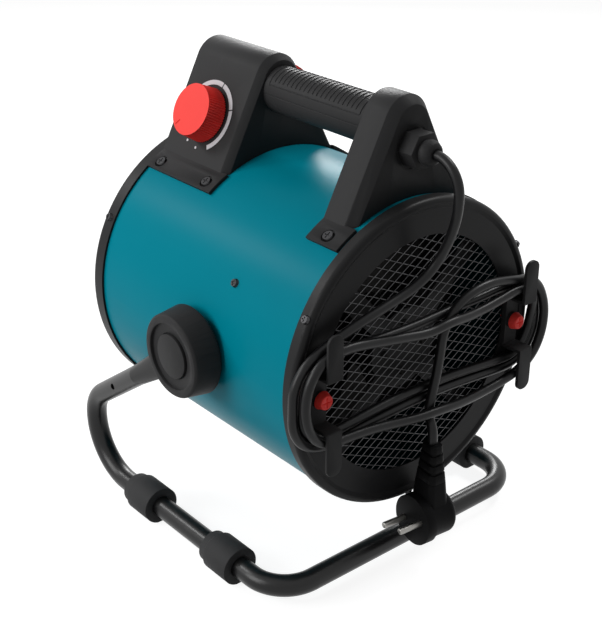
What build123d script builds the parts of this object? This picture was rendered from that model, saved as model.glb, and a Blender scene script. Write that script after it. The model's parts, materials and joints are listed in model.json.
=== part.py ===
from build123d import *
from math import asin, atan2, cos, degrees, hypot, radians, sin, sqrt, tan
import os

# A portable forced air heater: a drum that tilts in a bent tube stand, with a control box and a
# rear bracket that carry the handle, and two cleats on the back with the mains cord wound on them.
# The air comes out at the front, -Y. Lengths are in millimetres.

# Drum
drum_radius = 112.5
drum_length = 242.2  # over both end rings
sheet = 1.0
ground_clearance = 51.8  # floor to the rings
seat_gap = 0.2  # between nested pieces of one body
move_gap = 0.3  # between pieces that move past each other

# End rings
ring_lip = 1.8  # how proud the rings stand of the casing
ring_wall = 1.6
ring_sheet = 1.2
front_ring_width = 13.3
rear_ring_width = 10.1
ring_rounding = 4.0
rim_width = 5.0
rear_dish = 1.5  # the rear face lies this much behind its rim
outlet_radius = 94.0
inlet_radius = 88.2

# Front grille
grille_bar = 2.2
grille_depth = 1.6
grille_pitch = 13.0
grille_hub_radius = 9.0
grille_spokes = 6
grille_overlap = 4.0

# Rear mesh
wire = 1.0
mesh_edge = 2.3
mesh_frame_width = 7.0
steep_wire_angle = 24.5
shallow_wire_angle = -32.5
steep_wire_pitch = 6.6
shallow_wire_pitch = 5.8

# Brackets: straight sides that run tangent into an arch
bracket_half_width = 52.4  # where a side meets the flange
bracket_wall = 2.5
arch_height = 49.1  # arch centre above the casing
arch_radius = 19.9
flange_thickness = 2.5
flange_edge_angle = 53.7
flange_screw_angle = 57.4
bracket_floor_drop = 14.0  # how far the sides run on below the flange before they are cut
box_front = 107.5  # control box, distances along the drum from its middle
box_rear = 30.0
box_rear_slope = 6.0
box_slope_inset = 4.0
box_flange_rear = 29.0
rear_bracket_front = 78.5
rear_bracket_rear = 106.0
rear_bracket_slope = 7.0
rear_slope_inset = 5.6
rear_flange_rear = 109.0
box_screw_spread = 28.5
rear_screw_y = 94.0

# Handle
handle_radius = 17.0
handle_drop = 5.0  # handle axis below the arch centre
handle_core_radius = 12.0
handle_bore = 8.0
core_socket = 4.0  # how far the core enters each bracket

# Dials and knobs
thermostat_place = (35.0, 72.0)  # up the slope from the flange edge, and in front of the drum's middle
selector_place = (38.0, 67.0)
knob_radius = 20.8
knob_height = 15.4
knob_gap = 1.0
knob_taper = 5.0
knob_edge = 1.2
knob_wall = 2.6
knob_roof = 3.4
knob_boss_radius = 6.0
pointer_width = 1.6
pointer_depth = 0.8
pointer_length = 6.0
pointer_inset = 1.0
thermostat_pointer = -128.0  # from the rear, upward
selector_pointer = 120.0
spindle_radius = 3.0
spindle_fit = 0.05
spindle_clearance = 0.4
spindle_depth = 12.0
control_radius = 13.0
control_depth = 14.0
scale_radius = 26.9
scale_width = 3.5
scale_thickness = 0.3
scale_arcs = ((-61.0, 82.0), (22.2, 52.8), (76.2, 74.0))  # start and span, from the rear, upward
mark_radius = 1.0
scale_marks = (-118.0, -90.0)

# Screws
small_head = 3.2
small_shank = 1.4
bracket_head = 4.3
bracket_shank = 2.0
recess_margin = 0.9
recess_depth = 1.2
head_height = 2.0
screw_length = 7.0
head_taper = 18.0
slot_width = 0.8
slot_depth = 0.7
hole_margin = 0.2
ring_screw_angles = (29.5, 150.5, 270.0)
front_screw_inset = 7.1
rear_screw_inset = 4.4
shroud_screw_angles = (29.3, 150.7, 270.0)

# Cord cleats on the rear ring
cleat_inset = 18.8  # middle of a cleat inside the casing's radius
cleat_width = 13.0
cleat_plate = 4.0
cleat_boss_radius = 6.2
cleat_boss_height = 2.9
arm_thickness = 2.5
arm_height = 21.0  # outer face of an arm above the drum's axis plane
cord_room = 16.4  # rim to the inner face of the tabs
tab_top = 52.0
tab_end_radius = 6.0
cleat_head_radius = 6.6
cleat_head_height = 5.0
cleat_shank = 2.0
cleat_shank_length = 12.0

# Cord, gland and plug
cord_radius = 3.5
gland_drop = 14.1  # gland axis below the arch centre
gland_recess_radius = 15.0
gland_recess_depth = 1.0
gland_flats = 23.0
gland_body_length = 13.5
gland_collar_radius = 8.0
gland_collar_length = 1.5
gland_thread_radius = 8.0
gland_thread_length = 5.5
gland_nut_radius = 8.9
gland_nut_length = 8.0
gland_nut_straight = 3.6
gland_mouth_radius = 5.5
gland_bore = 3.6
locknut_flats = 22.0
locknut_length = 3.5
plug_x = 18.0  # centre of the plug's face
plug_y = 140.0
plug_z = -120.6
plug_turn = -6.0
plug_radius = 19.0
plug_rim = 8.0
plug_body_radius = 17.0
plug_depth = 29.5
plug_edge = 5.0
relief_setback = 15.4
neck_width = 26.0
neck_depth = 20.0
neck_top = 30.5
relief_top = 59.5
relief_base = (14.5, 21.0)  # depth and width
relief_end = (10.5, 14.0)
relief_corner = 4.0
groove_depth = 1.4
groove_width = 2.0
groove_count = 3
pin_radius = 2.4
pin_length = 19.0
pin_spacing = 19.0
pin_roll = 16.0

# Pivots
pivot_y = 13.4
boss_radius = 18.0
boss_height = 5.3
washer_radius = 15.0
washer_thickness = 1.5
bolt_radius = 4.0
bolt_fit = 0.06
bolt_hole_margin = 0.2
bolt_head_radius = 6.5
bolt_head_height = 5.0
nut_flats = 13.0
nut_height = 5.0
plate_thickness = 1.9
plate_half_angle = 14.0
plate_length = 44.0
cover_radius = 33.0
cover_face_radius = 30.6
cover_height = 22.3
cover_wall = 2.5
cover_edge = 3.0
cover_back_gap = 0.5
groove_outer_radius = 24.3
cover_groove_depth = 2.5
cap_radius = 16.4
cap_thickness = 3.8
cap_set_back = 0.5

# Stand
tube_radius = 8.0
tube_wall = 1.5
flat_thickness = 4.0
flat_width = 21.0
flat_start = 78.0  # from the pivot
flat_end = 36.0
corner_setback = 3.1  # front corner behind the front ring's face
corner_rise = 59.0  # front corner above the floor tubes
crossbar_inset = 6.2
front_corner_radius = 30.0
floor_corner_radius = 42.0
rear_corner_radius = 30.0
arm_hole_radius = 2.5
arm_hole_distance = 111.0
sleeve_radius = 14.5
sleeve_spans = ((-63.5, -30.0), (37.0, 70.5))
sleeve_taper = 2.0
collar_radius = 12.2
collar_length = 6.0
sleeve_bore = 8.1
sleeve_flat = 0.4  # depth of the flat each sleeve stands on

# Inside the drum
shield_gap = 14.5  # between the casing's outside and the shield
shield_sheet = 0.6
shield_front = 112.0
shroud_y = 46.0
shroud_lip = 10.0
orifice_radius = 84.5
orifice_length = 18.0
blade_gap = 6.0
blade_count = 5
blade_root_chord = 24.0
blade_tip_chord = 44.0
blade_thickness = 2.2
blade_root_pitch = 38.0
blade_tip_pitch = 24.0
fan_hub_radius = 20.0
fan_hub_front = 43.0
fan_hub_length = 18.0
shaft_radius = 3.0
shaft_fit = 0.05
motor_front = 64.0
motor_radius = 27.0
motor_length = 40.0
motor_boss_radius = 9.0
motor_boss_height = 2.0
motor_screw_radius = 19.0
motor_screw_depth = 8.0
bracket_sheet = 1.5
bracket_arm_width = 16.0
bracket_tab = 9.0
motor_plate_radius = 30.0
element_y = 70.0
element_radius = 3.2
pin_sleeve_radius = 3.8
ring_radii = (30.0, 50.0, 70.0)
pin_half_spacing = 8.0
element_pin_length = 28.0
support_sheet = 1.5
support_arm_width = 26.0
support_setback = 24.0
support_gap = 0.3
lead_radius = 1.6
lead_setback = 2.0
wire_hole_radius = 15.0
wire_hole_y = 50.0
cutout_radius = 8.0
cutout_height = 6.0
cutout_y = 30.0
cutout_angle = 60.0
block_width = 26.0
block_length = 24.0
block_height = 14.0
block_floor = 11.5  # underside above the casing
cable_bend = 12.0
cable_rise = 4.8  # from the gland axis to the cable in the handle
cable_jog = 8.31  # length of the sloping run between them

# Worked out from the sizes above
drum_half = drum_length / 2
ring_radius = drum_radius + ring_lip
shield_radius = drum_radius - shield_gap
cleat_x = drum_radius - cleat_inset
axis_z = ring_radius + ground_clearance
tab_back = drum_half + cord_room
rear_reach = tab_back + arm_thickness
corner_y = -(drum_half - corner_setback)
front_reach = tube_radius - corner_y
mid_y = (front_reach - rear_reach) / 2
flange_radius = drum_radius + seat_gap + flange_thickness
base_z = sqrt(flange_radius**2 - bracket_half_width**2)
arch_z = drum_radius + arch_height
to_arch = atan2(arch_z - base_z, -bracket_half_width)
lean = to_arch - asin(arch_radius / hypot(bracket_half_width, arch_z - base_z)) - radians(90)
side_distance = bracket_half_width * cos(lean) + base_z * sin(lean)
handle_z = arch_z - handle_drop
gland_z = arch_z - gland_drop
ring_face_y = drum_half - rear_dish
rear_wall_y = rear_bracket_rear - bracket_wall
tube_x = drum_radius + boss_height + washer_thickness + flat_thickness / 2
floor_z = sleeve_radius - sleeve_flat - axis_z
gland_length = gland_body_length + gland_collar_length + gland_nut_length
gland_end = rear_bracket_rear - gland_recess_depth + gland_length


def at(x, y, z):
    # A point given from the middle of the drum
    return Vector(x, y + mid_y, z + axis_z)


def across(y, x=0, z=0):
    # A plane across the drum: local x to the right, local y up, facing forward
    return Plane(origin=at(x, y, z), x_dir=(1, 0, 0), z_dir=(0, -1, 0))


def sideways(x, y=0, z=0):
    # A plane along the drum: local x to the rear, local y up, facing +X
    return Plane(origin=at(x, y, z), x_dir=(0, 1, 0), z_dir=(1, 0, 0))


def radial(angle, y, r):
    # A plane that faces out of the drum at an angle from +X
    a = radians(angle)
    return Plane(origin=at(r * cos(a), y, r * sin(a)), x_dir=(0, 1, 0), z_dir=(cos(a), 0, sin(a)))


def dial(side, height=0.0):
    # A plane on a sloping side of the control box, at the middle of its dial
    up, forward = thermostat_place if side > 0 else selector_place
    x = bracket_half_width - up * sin(lean) + height * cos(lean)
    z = base_z + up * cos(lean) + height * sin(lean)
    return Plane(origin=at(side * x, -forward, z), x_dir=(0, side, 0), z_dir=(side * cos(lean), 0, sin(lean)))


def turned(outline, plane, axis):
    with BuildPart() as piece:
        with BuildSketch(plane):
            with BuildLine():
                Polyline(*outline, close=True)
            make_face()
        revolve(axis=axis)
    return piece.part


def save(part, name):
    part.label = name
    export_step(part, f"parts/{name}.step")


os.makedirs("parts", exist_ok=True)
drum_axis = Axis(at(0, 0, 0), (0, 1, 0))
pivot_axis = Axis(at(0, pivot_y, 0), (1, 0, 0))
ring_screw_spots = []
for angle in ring_screw_angles:
    ring_screw_spots.append((angle, front_screw_inset - drum_half))
    ring_screw_spots.append((angle, drum_half - rear_screw_inset))
shroud_screw_y = shroud_y - shroud_lip / 2
shroud_screw_spots = [(angle, shroud_screw_y) for angle in shroud_screw_angles]
box_middle = -(box_front + box_rear) / 2
bracket_screw_spots = []
for angle in (flange_screw_angle, 180 - flange_screw_angle):
    bracket_screw_spots.append((angle, box_middle - box_screw_spread))
    bracket_screw_spots.append((angle, box_middle + box_screw_spread))
    bracket_screw_spots.append((angle, rear_screw_y))

# ---- Drum casing ----
casing_half = drum_half - max(ring_sheet, rear_dish + ring_sheet) - seat_gap
with BuildPart() as drum_casing:
    with BuildSketch(across(casing_half)):
        Circle(drum_radius)
        Circle(drum_radius - sheet, mode=Mode.SUBTRACT)
    extrude(amount=2 * casing_half)
    with BuildSketch(Plane(origin=at(0, -wire_hole_y, 0))):
        Circle(wire_hole_radius)
    extrude(amount=2 * drum_radius, mode=Mode.SUBTRACT)
    with BuildSketch(sideways(0, pivot_y)):
        Circle(bolt_radius + bolt_hole_margin)
    extrude(amount=2 * drum_radius, both=True, mode=Mode.SUBTRACT)
    with BuildSketch(*[radial(a, y, drum_radius + sheet) for a, y in ring_screw_spots + shroud_screw_spots]):
        Circle(small_shank + hole_margin)
    extrude(amount=-3 * sheet, mode=Mode.SUBTRACT)
    with BuildSketch(*[radial(a, y, drum_radius + sheet) for a, y in bracket_screw_spots]):
        Circle(bracket_shank + hole_margin)
    extrude(amount=-3 * sheet, mode=Mode.SUBTRACT)
save(drum_casing.part, "drum_casing")


# ---- End rings: pressed sheet, a skirt outside the casing and a face with a rounded rim ----
def end_ring(name, direction, width, dish, opening, screw_y, cleat_holes):
    skirt_radius = drum_radius + seat_gap
    inner_face = drum_half - dish - ring_sheet
    with BuildPart() as ring:
        with BuildSketch(sideways(0)) as section:
            with BuildLine():
                Polyline(
                    (direction * (drum_half - width), skirt_radius),
                    (direction * (drum_half - width), ring_radius),
                    (direction * drum_half, ring_radius),
                    (direction * drum_half, ring_radius - rim_width),
                    (direction * (drum_half - dish), ring_radius - rim_width - dish - ring_sheet),
                    (direction * (drum_half - dish), opening),
                    (direction * inner_face, opening),
                    (direction * inner_face, skirt_radius),
                    close=True,
                )
            make_face()
            outer_corners = section.vertices().group_by(Axis.Y)[-1].sort_by(Axis.X)
            rim = outer_corners[-1] if direction > 0 else outer_corners[0]
            fillet(rim, radius=min(ring_rounding, rim_width - ring_sheet / 2))
        revolve(axis=drum_axis)
        with BuildSketch(*[radial(a, screw_y, ring_radius + ring_wall) for a in ring_screw_angles]):
            Circle(small_shank + hole_margin)
        extrude(amount=-3 * (ring_lip + ring_wall), mode=Mode.SUBTRACT)
        for x in cleat_holes:
            with BuildSketch(across(direction * drum_half, x)):
                Circle(cleat_shank + hole_margin)
            extrude(amount=direction * 2 * (dish + ring_sheet), mode=Mode.SUBTRACT)
    save(ring.part, name)


end_ring("front_ring", -1, front_ring_width, 0.0, outlet_radius, front_screw_inset - drum_half, ())
ring_screw_y = drum_half - rear_screw_inset
end_ring("rear_ring", 1, rear_ring_width, rear_dish, inlet_radius, ring_screw_y, (-cleat_x, cleat_x))

# ---- Front grille: one flat punched sheet behind the front ring ----
grille_radius = outlet_radius + grille_overlap
grille_rings = int((outlet_radius - grille_hub_radius) / grille_pitch)
with BuildPart() as front_grille:
    with BuildSketch(across(grille_depth + ring_sheet + seat_gap - drum_half)):
        Circle(grille_radius)
        Circle(outlet_radius - grille_bar, mode=Mode.SUBTRACT)
        for i in range(grille_rings, 0, -1):
            Circle(grille_hub_radius + i * grille_pitch)
            Circle(grille_hub_radius + i * grille_pitch - grille_bar, mode=Mode.SUBTRACT)
        Circle(grille_hub_radius)
        with PolarLocations(outlet_radius / 2, grille_spokes, start_angle=30):
            Rectangle(outlet_radius, grille_bar)
    extrude(amount=grille_depth)
save(front_grille.part, "front_grille")

# ---- Rear mesh: two layers of wires, the steep ones behind, in a flat frame ----
mesh_radius = inlet_radius + mesh_edge
mesh_y = ring_face_y - ring_sheet - seat_gap
with BuildPart() as rear_mesh:
    for angle, pitch, y in (
        (shallow_wire_angle, shallow_wire_pitch, mesh_y),
        (steep_wire_angle, steep_wire_pitch, mesh_y - wire),
    ):
        a = radians(angle)
        count = int((mesh_radius - wire) / pitch)
        with BuildSketch(across(y)):
            for i in range(-count, count + 1):
                offset_here = i * pitch
                with Locations((-offset_here * sin(a), offset_here * cos(a))):
                    Rectangle(2 * sqrt((mesh_radius + wire)**2 - offset_here**2), wire, rotation=angle)
        extrude(amount=wire)
    with BuildSketch(across(mesh_y)):
        Circle(mesh_radius + mesh_frame_width)
        Circle(mesh_radius, mode=Mode.SUBTRACT)
        with Locations((-cleat_x, 0), (cleat_x, 0)):
            Circle(cleat_shank + hole_margin, mode=Mode.SUBTRACT)
    extrude(amount=2 * wire)
save(rear_mesh.part, "rear_mesh")


# ---- Brackets: an arched outline, hollow, with a flange that lies on the casing ----
def arch_face(y, inset):
    r = arch_radius - inset
    foot_z = base_z - bracket_floor_drop
    foot_x = (side_distance - inset - foot_z * sin(lean)) / cos(lean)
    top_x = r * cos(lean)
    top_z = arch_z + r * sin(lean)
    with BuildSketch(across(y)) as outline:
        with BuildLine():
            Polyline((-top_x, top_z), (-foot_x, foot_z), (foot_x, foot_z), (top_x, top_z))
            ThreePointArc((top_x, top_z), (0, arch_z + r), (-top_x, top_z))
        make_face()
    return outline.sketch


def bracket_block(front, straight_rear, rear, slope_inset, inset):
    middle = arch_face(straight_rear, inset)
    end = arch_face(rear, inset + slope_inset)
    with BuildPart() as block:
        extrude(middle, amount=straight_rear - front)
        loft([middle.face(), end.face()], ruled=True)
    return block.part


def flange_sector(start_angle, span):
    outer = CenterArc((0, 0), flange_radius, start_angle, span)
    inner = CenterArc((0, 0), drum_radius + seat_gap, start_angle, span)
    Line(outer @ 0, inner @ 0)
    Line(outer @ 1, inner @ 1)


wall_angle = degrees(atan2(base_z, bracket_half_width)) + degrees(bracket_wall / 2 / flange_radius)
flange_span = wall_angle - flange_edge_angle


def bracket(front, straight_rear, rear, slope_inset, flange_rear, screw_ys, openings, recess=None):
    outer = bracket_block(front, straight_rear, rear, slope_inset, 0)
    hollow = bracket_block(
        front + bracket_wall, straight_rear - bracket_wall, rear - bracket_wall, slope_inset, bracket_wall
    )
    with BuildPart() as shell:
        add(outer)
        with BuildSketch(across(rear + 1)):
            Circle(drum_radius + seat_gap)
        extrude(amount=rear - front + 2, mode=Mode.SUBTRACT)
        with BuildSketch(across(flange_rear)):
            for start_angle in (flange_edge_angle, 180 - wall_angle):
                with BuildLine():
                    flange_sector(start_angle, flange_span)
                make_face()
        extrude(amount=flange_rear - front)
        add(hollow, mode=Mode.SUBTRACT)
        head_spots = [(a, y) for a in (flange_screw_angle, 180 - flange_screw_angle) for y in screw_ys]
        with BuildSketch(*[radial(a, y, flange_radius + 1) for a, y in head_spots]):
            Circle(bracket_head + recess_margin)
        extrude(amount=-recess_depth - 1, mode=Mode.SUBTRACT)
        with BuildSketch(*[radial(a, y, flange_radius + 1) for a, y in head_spots]):
            Circle(bracket_shank + hole_margin)
        extrude(amount=-3 * flange_thickness, mode=Mode.SUBTRACT)
        for y, z, radius in openings:
            with BuildSketch(across(y + bracket_wall, 0, z)):
                Circle(radius)
            extrude(amount=3 * bracket_wall, mode=Mode.SUBTRACT)
        if recess:
            with BuildSketch(across(rear, 0, recess)):
                Circle(gland_recess_radius)
            extrude(amount=gland_recess_depth, mode=Mode.SUBTRACT)
    return shell


# The control box, with a spindle hole through each sloping side
box_shell = bracket(
    -box_front, -box_rear - box_rear_slope, -box_rear, box_slope_inset, -box_flange_rear,
    (box_middle - box_screw_spread, box_middle + box_screw_spread),
    ((-box_rear, handle_z, handle_core_radius + seat_gap),),
)
with BuildPart() as control_box:
    add(box_shell.part)
    with BuildSketch(dial(1, bracket_wall), dial(-1, bracket_wall)):
        Circle(spindle_radius + spindle_clearance)
    extrude(amount=-3 * bracket_wall, mode=Mode.SUBTRACT)
save(control_box.part, "control_box")

rear_shell = bracket(
    rear_bracket_front, rear_bracket_rear - rear_bracket_slope, rear_bracket_rear, rear_slope_inset,
    rear_flange_rear, (rear_screw_y,),
    (
        (rear_bracket_front + bracket_wall, handle_z, handle_core_radius + seat_gap),
        (rear_bracket_rear, gland_z, gland_thread_radius + seat_gap),
    ),
    recess=gland_z,
)
save(rear_shell.part, "rear_bracket")

# ---- Handle: a core that enters both brackets, and two half shells round it ----
core_front = -box_rear - core_socket
core_rear = rear_bracket_front + core_socket
with BuildPart() as handle_core:
    with BuildSketch(across(core_rear, 0, handle_z)):
        Circle(handle_core_radius)
        Circle(handle_bore, mode=Mode.SUBTRACT)
    extrude(amount=core_rear - core_front)
save(handle_core.part, "handle_core")

grip_front = -box_rear + seat_gap
grip_rear = rear_bracket_front - seat_gap
for name, side in (("handle_upper_shell", 1), ("handle_lower_shell", -1)):
    with BuildPart() as grip_shell:
        with BuildSketch(across(grip_rear, 0, handle_z)):
            Circle(handle_radius)
            Circle(handle_core_radius + seat_gap, mode=Mode.SUBTRACT)
            with Locations((0, -side * handle_radius)):
                Rectangle(2 * handle_radius, 2 * handle_radius, mode=Mode.SUBTRACT)
        extrude(amount=grip_rear - grip_front)
    save(grip_shell.part, name)


# ---- Dials: printed scales, knobs, spindles and what they turn ----
with BuildPart() as dial_scales:
    with BuildSketch(dial(1), dial(-1)):
        for start_angle, span in scale_arcs:
            with BuildLine():
                outer = CenterArc((0, 0), scale_radius, start_angle, span)
                inner = CenterArc((0, 0), scale_radius - scale_width, start_angle, span)
                Line(outer @ 0, inner @ 0)
                Line(outer @ 1, inner @ 1)
            make_face()
        for angle in scale_marks:
            with PolarLocations(scale_radius - scale_width / 2, 1, start_angle=angle):
                Circle(mark_radius)
    extrude(amount=scale_thickness)
save(dial_scales.part, "dial_scales")

for name, side, pointer in (("thermostat", 1, thermostat_pointer), ("selector", -1, selector_pointer)):
    top = knob_gap + knob_height
    pointer_middle = knob_radius - knob_height * tan(radians(knob_taper)) - pointer_inset - pointer_length / 2
    with BuildPart() as knob:
        with BuildSketch(dial(side, knob_gap)):
            Circle(knob_radius)
        extrude(amount=knob_height, taper=knob_taper)
        fillet(knob.faces().sort_by(Axis(dial(side).origin, dial(side).z_dir))[-1].edges(), radius=knob_edge)
        with BuildSketch(dial(side, knob_gap)):
            Circle(knob_radius - knob_wall - knob_height * tan(radians(knob_taper)))
            Circle(knob_boss_radius, mode=Mode.SUBTRACT)
        extrude(amount=knob_height - knob_roof, mode=Mode.SUBTRACT)
        with BuildSketch(dial(side, top)):
            with PolarLocations(pointer_middle, 1, start_angle=pointer):
                Rectangle(pointer_length, pointer_width)
        extrude(amount=-pointer_depth, mode=Mode.SUBTRACT)
        with BuildSketch(dial(side, knob_gap)):
            Circle(spindle_radius)
        extrude(amount=knob_height - knob_roof, mode=Mode.SUBTRACT)
    save(knob.part, f"{name}_knob")

    with BuildPart() as spindle:
        with BuildSketch(dial(side, -bracket_wall - spindle_depth)):
            Circle(spindle_radius)
        extrude(amount=bracket_wall + spindle_depth + top - knob_roof)
    save(spindle.part, f"{name}_spindle")

    with BuildPart() as control:
        with BuildSketch(dial(side, -bracket_wall - seat_gap)):
            Circle(control_radius)
        extrude(amount=-control_depth)
        with BuildSketch(dial(side, -bracket_wall - seat_gap)):
            Circle(spindle_radius + spindle_fit)
        extrude(amount=-spindle_depth, mode=Mode.SUBTRACT)
    save(control.part, f"{name}_body")


# ---- Screws: tapered pan heads with a cross slot ----
def pan_screws(planes, head, height, shank, length):
    with BuildPart() as screws:
        with BuildSketch(*planes):
            Circle(head)
        extrude(amount=height, taper=head_taper)
        with BuildSketch(*planes):
            Circle(shank)
        extrude(amount=-length)
        with BuildSketch(*[plane.offset(height) for plane in planes]):
            Rectangle(1.2 * head, slot_width)
            Rectangle(slot_width, 1.2 * head)
        extrude(amount=-slot_depth, mode=Mode.SUBTRACT)
    return screws.part


ring_planes = [radial(a, y, ring_radius) for a, y in ring_screw_spots]
save(pan_screws(ring_planes, small_head, head_height, small_shank, screw_length), "ring_screws")
shroud_planes = [radial(a, y, drum_radius) for a, y in shroud_screw_spots]
save(pan_screws(shroud_planes, small_head, head_height, small_shank, screw_length), "shroud_screws")
bracket_planes = [radial(a, y, flange_radius - recess_depth) for a, y in bracket_screw_spots]
save(pan_screws(bracket_planes, bracket_head, head_height, bracket_shank, screw_length), "bracket_screws")

# ---- Cord cleats: a plate on the rear ring, two arms, and tabs that keep the cord on ----
boss_y = ring_face_y + cleat_plate + cleat_boss_height
for name, side in (("cleat_left", 1), ("cleat_right", -1)):
    inner_x = side * cleat_x - cleat_width / 2
    with BuildPart() as cleat:
        with BuildSketch(sideways(inner_x)):
            with BuildLine():
                Polyline(
                    (ring_face_y, -arm_height),
                    (rear_reach - arm_thickness, -arm_height),
                    (rear_reach - arm_thickness, -tab_top),
                    (rear_reach, -tab_top),
                    (rear_reach, arm_thickness - arm_height),
                    (ring_face_y + cleat_plate, arm_thickness - arm_height),
                    (ring_face_y + cleat_plate, arm_height - arm_thickness),
                    (rear_reach, arm_height - arm_thickness),
                    (rear_reach, tab_top),
                    (rear_reach - arm_thickness, tab_top),
                    (rear_reach - arm_thickness, arm_height),
                    (ring_face_y, arm_height),
                    close=True,
                )
            make_face()
        extrude(amount=cleat_width)
        tab_corners = cleat.edges().filter_by(Axis.Y).group_by(Axis.Z)
        fillet(tab_corners[0] + tab_corners[-1], radius=min(tab_end_radius, 0.48 * cleat_width))
        with BuildSketch(across(boss_y, side * cleat_x)):
            Circle(cleat_boss_radius)
        extrude(amount=cleat_boss_height)
        with BuildSketch(across(boss_y, side * cleat_x)):
            Circle(cleat_shank + hole_margin)
        extrude(amount=cleat_boss_height + 2 * cleat_plate, mode=Mode.SUBTRACT)
    save(cleat.part, name)

cleat_planes = [
    Plane(origin=at(side * cleat_x, boss_y, 0), x_dir=(-1, 0, 0), z_dir=(0, 1, 0)) for side in (1, -1)
]
cleat_screws = pan_screws(cleat_planes, cleat_head_radius, cleat_head_height, cleat_shank, cleat_shank_length)
save(cleat_screws, "cleat_screws")

# ---- Gland: a hexagon body through the bracket's rear wall, a locknut inside, a dome nut outside ----
gland_seat = rear_bracket_rear - gland_recess_depth
gland_top = gland_seat + gland_body_length
collar_end = gland_top + gland_collar_length
gland_axis = Axis(at(0, 0, gland_z), (0, 1, 0))
with BuildPart() as gland_body:
    with BuildSketch(across(gland_top, 0, gland_z)):
        RegularPolygon(gland_flats / 2, 6, major_radius=False)
    extrude(amount=gland_body_length)
    with BuildSketch(across(collar_end, 0, gland_z)):
        Circle(gland_collar_radius)
    extrude(amount=gland_collar_length)
    with BuildSketch(across(gland_seat, 0, gland_z)):
        Circle(gland_thread_radius)
    extrude(amount=gland_thread_length)
    with BuildSketch(across(collar_end, 0, gland_z)):
        Circle(gland_bore)
    extrude(amount=gland_thread_length + gland_body_length + gland_collar_length, mode=Mode.SUBTRACT)
save(gland_body.part, "gland_body")

with BuildPart() as gland_locknut:
    with BuildSketch(across(rear_wall_y - seat_gap, 0, gland_z)):
        RegularPolygon(locknut_flats / 2, 6, major_radius=False)
        Circle(gland_thread_radius + seat_gap, mode=Mode.SUBTRACT)
    extrude(amount=locknut_length)
save(gland_locknut.part, "gland_locknut")

nut_outline = (
    (collar_end, gland_bore),
    (collar_end, gland_nut_radius),
    (collar_end + gland_nut_straight, gland_nut_radius),
    (gland_end - gland_nut_straight / 3, (gland_nut_radius + gland_mouth_radius) / 2),
    (gland_end, gland_mouth_radius),
    (gland_end, gland_bore),
)
save(turned(nut_outline, sideways(0, 0, gland_z), gland_axis), "gland_nut")


# ---- Cord: it drops from the gland to the left cleat, is wound on both, and ends in the plug ----
def tube(points, radius, bend_radii=None):
    if bend_radii is None:
        bend_radii = bends(points)
    route = FilletPolyline(*points, radius=bend_radii)
    with BuildPart() as cable:
        with BuildSketch(Plane(origin=route @ 0, z_dir=route % 0)):
            Circle(radius)
        sweep(path=route)
    return cable.part, route.length


def bends(points):
    # The largest arc that each corner's two runs leave room for
    radii = []
    for before, corner, after in zip(points, points[1:], points[2:]):
        turn = (corner - before).get_angle(after - corner)
        run = min((corner - before).length, (after - corner).length)
        radii.append(0.45 * run / tan(radians(turn) / 2))
    return radii


drop_points = [
    at(*point)
    for point in (
        (0, gland_end, gland_z),
        (0, 133.0, 147.5),
        (0, 137.8, 146.2),
        (0, 142.2, 143.7),
        (-0.1, 145.7, 140.2),
        (-0.3, 148.2, 135.8),
        (-0.6, 149.4, 131.0),
        (-1.0, 149.4, 122.0),
        (-1.8, 147.0, 108.0),
        (-2.2, 142.0, 93.0),
        (-0.4, 135.8, 77.5),
        (5.5, 132.2, 67.5),
        (16.0, 130.3, 60.0),
        (30.0, 129.6, 55.6),
        (46.0, 129.8, 53.0),
        (62.0, 130.4, 49.5),
        (76.0, 130.8, 43.0),
        (86.0, 131.0, 34.0),
    )
]
cord_drop, drop_length = tube(drop_points, cord_radius)
save(cord_drop, "cord_drop")

relief_x = plug_x - relief_setback * cos(radians(plug_turn))
relief_y = plug_y - relief_setback * sin(radians(plug_turn))
tail_points = [
    at(*point)
    for point in (
        (-86.0, 131.0, 34.0),
        (-73.0, 131.0, 39.5),
        (-58.0, 131.0, 41.8),
        (-42.5, 131.0, 40.5),
        (-28.5, 131.0, 35.8),
        (-18.0, 131.0, 27.0),
        (-12.5, 131.0, 15.0),
        (-10.9, 131.1, 1.5),
        (-8.7, 131.2, -12.0),
        (-5.4, 131.4, -25.0),
        (-1.6, 132.0, -38.8),
        (0.2, 134.6, -44.6),
        (1.6, 139.0, -49.0),
        (relief_x, relief_y, plug_z + relief_top + 6.4),
        (relief_x, relief_y, plug_z + relief_top),
    )
]
cord_tail, tail_length = tube(tail_points, cord_radius)
save(cord_tail, "cord_tail")
print("drop bends", [round(r) for r in bends(drop_points)], "length", round(drop_length))
print("tail bends", [round(r) for r in bends(tail_points)], "length", round(tail_length))

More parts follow.
